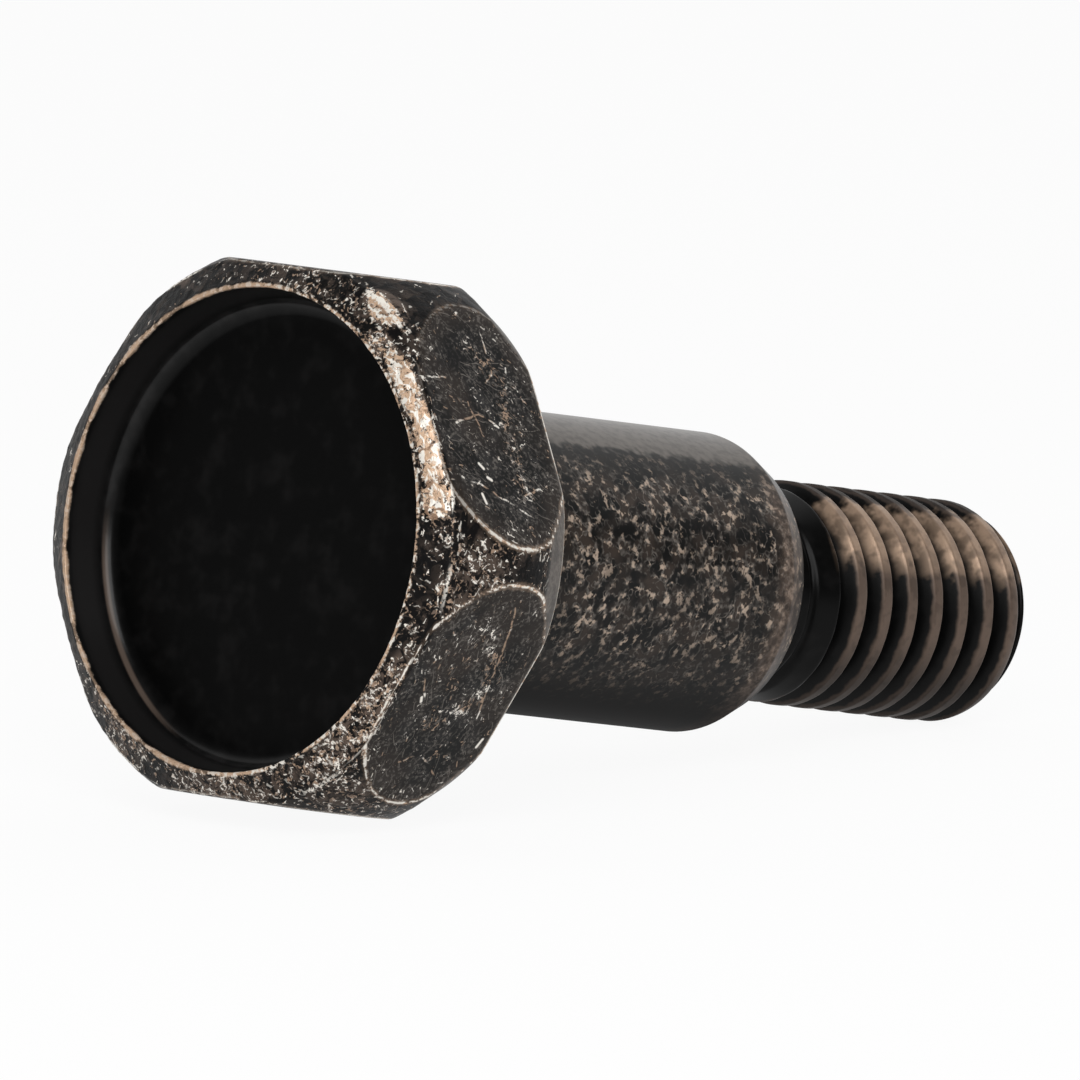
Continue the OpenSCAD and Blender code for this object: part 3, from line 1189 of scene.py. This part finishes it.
    def lay_edges(self, coat: Coat, place: Wire) -> None:
        """Wears the flats' edges, the rear edge and the recess's lip down to bright metal.

        Args:
            coat: The finish so far.
            place: Place on the bolt, in millimetres.
        """
        graph = coat.graph
        ragged = graph.noise(place, 4.2, 2, 0.6)
        patchy = graph.noise(place, 0.8, 2)
        width = patchy.rise(0.34, 0.64) * 0.05 + (ragged - 0.5) * 0.14 + 0.055
        gap = graph.mask(Mask.EDGE)
        across, depth, _ = graph.parts(graph.mask(Mask.PLANE))
        deep = depth.rise(0.9, 3.0) * 0.65 + 0.35
        on_upper = across - FLAT_APART * UPPER_FLAT
        on_lower = across - FLAT_APART * LOWER_FLAT
        dull = 1.0 - on_upper.rise(-7.0, -6.0) * on_upper.rise(3.2, 0.5) * 0.8
        bold = on_lower.rise(-18.0, -14.0) * on_lower.rise(18.0, 14.0) * 0.85
        strength = (deep * dull * patchy.rise(0.3, 0.44)).most(bold * ragged.rise(0.32, 0.44))
        hue = graph.blend(ragged.rise(0.38, 0.52), self.copper, self.cream)
        coat.cover(gap.rise(width * 2.0 + 0.03, width) * deep * dull * 0.3, self.fawn, *GRAZED)
        coat.cover(gap.rise(width, width * 0.4) * strength, hue, *WORN_SMOOTH)
        rear = graph.mask(Mask.REAR)
        coat.cover(rear.rise(0.3, 0.1) * 0.5, self.ash, 0.4)
        coat.cover(rear.rise(0.17, 0.09) * (patchy.rise(0.3, 0.5) * 0.7 + 0.3), hue, *WORN_SMOOTH)
        lip = graph.mask(Mask.LIP)
        near = graph.parts(place)[1].rise(4.0, -4.0)
        left_side = 1.0 - near
        lip_width = (ragged - 0.5) * (near * 0.2 + 0.16) + (patchy - 0.5) * left_side * 0.4
        lip_width = lip_width + left_side * 0.03 + 0.1
        lip_hue = graph.blend(ragged.rise(0.5, 0.6) * (near * 0.7 + 0.3), self.copper, self.cream)
        unbroken = left_side * (patchy.rise(0.36, 0.6) * 0.6 + 0.4)
        broken = (ragged + (patchy - 0.5) * 0.8).rise(0.36, 0.48).most(unbroken)
        broken = broken * (near * 0.1 + 0.85)
        coat.cover(lip.rise(lip_width + 0.05, lip_width * 0.5) * broken, lip_hue, *WORN_SMOOTH)


@dataclass
class Bolt:
    """The whole bolt as one closed skin."""

    head: Head = field(default_factory=Head)
    shank: Shank = field(default_factory=Shank)
    finish: WornBlackSteel = field(default_factory=WornBlackSteel)

    def rest(self) -> Rest:
        """Gives the way the bolt lies."""
        return Rest(self.head.flat_r, self.shank.thread_r, self.shank.tip_edge_at)

    def faces(self, head: Grid, shank: Grid) -> list[list[int]]:
        """Joins the two grids and their two poles into one closed skin.

        Quads run round each ring and on to the next, with the last column joined to the first. Each
        side of the shank's first ring fans out to the head columns that lie over it.

        Args:
            head: The head's grid, stored first, after the recess's centre.
            shank: The shank's grid, stored next, before the tip's centre.

        Returns:
            Faces as lists of point numbers, turned outwards.
        """
        rows, columns = head.radius.shape
        shank_rows, sides = shank.radius.shape
        head_at = 1 + np.arange(rows * columns).reshape(rows, columns)
        shank_at = 1 + rows * columns + np.arange(shank_rows * sides).reshape(shank_rows, sides)
        tip_at = 1 + rows * columns + shank_rows * sides
        made: list[list[int]] = []
        for numbers in (head_at, shank_at):
            onward = np.roll(numbers, -1, axis=1)
            quads = np.stack([numbers[:-1], onward[:-1], onward[1:], numbers[1:]], axis=-1)
            made += quads.reshape(-1, 4).tolist()
        first, last = head_at[0], shank_at[-1]
        made += np.stack([np.zeros_like(first), np.roll(first, -1), first], axis=-1).tolist()
        made += np.stack([last, np.roll(last, -1), np.full_like(last, tip_at)], axis=-1).tolist()
        span = columns // sides
        outer = head_at[-1].reshape(sides, span)
        closing = np.roll(outer[:, :1], -1, axis=0)
        inner = shank_at[0][:, None]
        fan = np.concatenate([outer, closing, np.roll(inner, -1, axis=0), inner], axis=1)
        made += fan.tolist()
        return made

    def build(self) -> bpy.types.Object:
        """Builds the bolt's mesh, dresses it and ties it to the frame.

        Returns:
            The finished piece.
        """
        rest = self.rest()
        head, shank = self.head.skin(), self.shank.skin()
        head_places, shank_places = self.head.places(head), shank.plain_places()
        centre = np.array([[0, 0, self.head.recess_depth - self.head.height]])
        tip = np.array([[0, 0, self.shank.thread_end]])
        plain = np.concatenate([centre, head_places.reshape(-1, 3), shank_places.reshape(-1, 3), tip])
        mesh = bpy.data.meshes.new("worn_shoulder_bolt")
        mesh.from_pydata(rest.lay(plain), [], self.faces(head, shank))
        for mask in Mask:
            width = 3 if mask.is_place else 1
            flat = [grid.masks[mask].reshape(-1, width) for grid in (head, shank)]
            numbers = np.concatenate([flat[0][:1], *flat, flat[1][-1:]]).astype(np.float32)
            kind, name = ("FLOAT_VECTOR", "vector") if mask.is_place else ("FLOAT", "value")
            mesh.attributes.new(mask.value, kind, "POINT").data.foreach_set(name, numbers.ravel())
        mesh.shade_smooth()
        mesh.materials.append(self.finish.material())
        mesh.update()
        piece = bpy.data.objects.new("worn_shoulder_bolt", mesh)
        bpy.context.collection.objects.link(piece)
        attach(piece, "root")
        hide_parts("shoulder_bolt")
        return piece


@dataclass
class Studio:
    """Pale floor, soft light and the camera."""

    floor_at: float
    camera_target: tuple[float, float, float] = (5.2, -5.09, 0.17)
    camera_turn: float = math.radians(44.13)
    camera_drop: float = math.radians(8.06)
    camera_roll: float = math.radians(-0.19)
    camera_distance: float = 938.0
    lens: float = 753.6
    sensor: float = 36.0
    floor_half: float = 2.0
    floor_lift: float = 0.93
    behind_way: tuple[float, float, float] = (0.69, 0.67, 0.27)
    front_level: float = 0.12
    key_way: tuple[float, float, float] = (-0.57, -0.60, 0.56)
    key_distance: float = 0.45
    key_size: float = 0.3
    key_power: float = 1.5

    def camera(self) -> None:
        """Sets the camera at the photograph's viewing angle."""
        data = bpy.data.cameras.new("camera")
        data.lens = self.lens
        data.sensor_width = self.sensor
        data.clip_end = 10
        camera = bpy.data.objects.new("camera", data)
        level = math.cos(self.camera_drop)
        way = Vector((level * math.cos(self.camera_turn), level * math.sin(self.camera_turn), 0))
        way.z = -math.sin(self.camera_drop)
        stand = Vector(self.camera_target) - way * self.camera_distance
        turn = way.to_track_quat("-Z", "Y").to_matrix().to_4x4()
        roll = Matrix.Rotation(self.camera_roll, 4, way)
        camera.matrix_world = Matrix.Translation(stand * MM) @ roll @ turn
        bpy.context.collection.objects.link(camera)
        bpy.context.scene.camera = camera

    def seen(self, graph: Graph) -> Wire:
        """Gives 1 for rays that show the background: from the camera, off gloss or through glass."""
        path = graph.add("ShaderNodeLightPath", output="Is Camera Ray")
        return path.most(path.beside("Is Glossy Ray")).most(path.beside("Is Transmission Ray"))

    def floor(self) -> None:
        """Lays a wide pale floor."""
        corners = np.array([[-1, -1, 0], [1, -1, 0], [1, 1, 0], [-1, 1, 0]]) * self.floor_half
        corners[:, 2] = self.floor_at
        mesh = bpy.data.meshes.new("floor")
        mesh.from_pydata(corners, [], [[0, 1, 2, 3]])
        made = bpy.data.materials.new("pale_floor")
        made.use_nodes = True
        graph = Graph(made.node_tree)
        plain = graph.add("ShaderNodeBsdfDiffuse", None, {"Color": (0.9, 0.9, 0.9, 1)})
        bright = graph.add("ShaderNodeEmission", None, {"Color": (1, 1, 1, 1), "Strength": 1.0})
        lift = self.seen(graph) * self.floor_lift
        mixed = graph.add("ShaderNodeMixShader", None, {0: lift, 1: plain, 2: bright})
        graph.add("ShaderNodeOutputMaterial", None, {"Surface": mixed})
        mesh.materials.append(made)
        floor = bpy.data.objects.new("floor", mesh)
        bpy.context.collection.objects.link(floor)

    def light(self) -> None:
        """Sets a soft world, bright behind the bolt and dim in front, and one soft lamp."""
        world = bpy.data.worlds.new("studio")
        bpy.context.scene.world = world
        world.use_nodes = True
        graph = Graph(world.node_tree)
        way = graph.add("ShaderNodeTexCoord", output="Generated")
        behind = graph.vector("DOT_PRODUCT", way, self.behind_way, output=1).rise(0.3, 0.42)
        level = graph.blend(behind, (self.front_level,) * 3, (1.0, 1.0, 1.0))
        path = graph.add("ShaderNodeLightPath", output="Is Camera Ray")
        shown = path.beside("Is Glossy Ray").most(path.beside("Is Transmission Ray"))
        colour = graph.blend(path.most(shown * behind), level, (1.0, 1.0, 1.0))
        sky = graph.add("ShaderNodeBackground", None, {"Color": colour, "Strength": 1.0})
        graph.add("ShaderNodeOutputWorld", None, {"Surface": sky})
        data = bpy.data.lights.new("key", "AREA")
        data.size = self.key_size
        data.energy = self.key_power
        lamp = bpy.data.objects.new("key", data)
        way_in = -Vector(self.key_way).normalized()
        turn = way_in.to_track_quat("-Z", "Y").to_matrix().to_4x4()
        lamp.matrix_world = Matrix.Translation(-way_in * self.key_distance) @ turn
        bpy.context.collection.objects.link(lamp)


def main() -> None:
    """Builds the bolt and the studio around it."""
    logging.basicConfig(level=logging.INFO, format="%(name)s: %(message)s")
    bpy.context.scene.view_settings.view_transform = "Standard"
    bolt = Bolt()
    piece = bolt.build()
    log.info("%s: %d points, %d faces", piece.name, len(piece.data.vertices), len(piece.data.polygons))
    studio = Studio(floor_at=cad_box[0].z)
    studio.camera()
    studio.floor()
    studio.light()


if __name__ == "__main__":
    main()
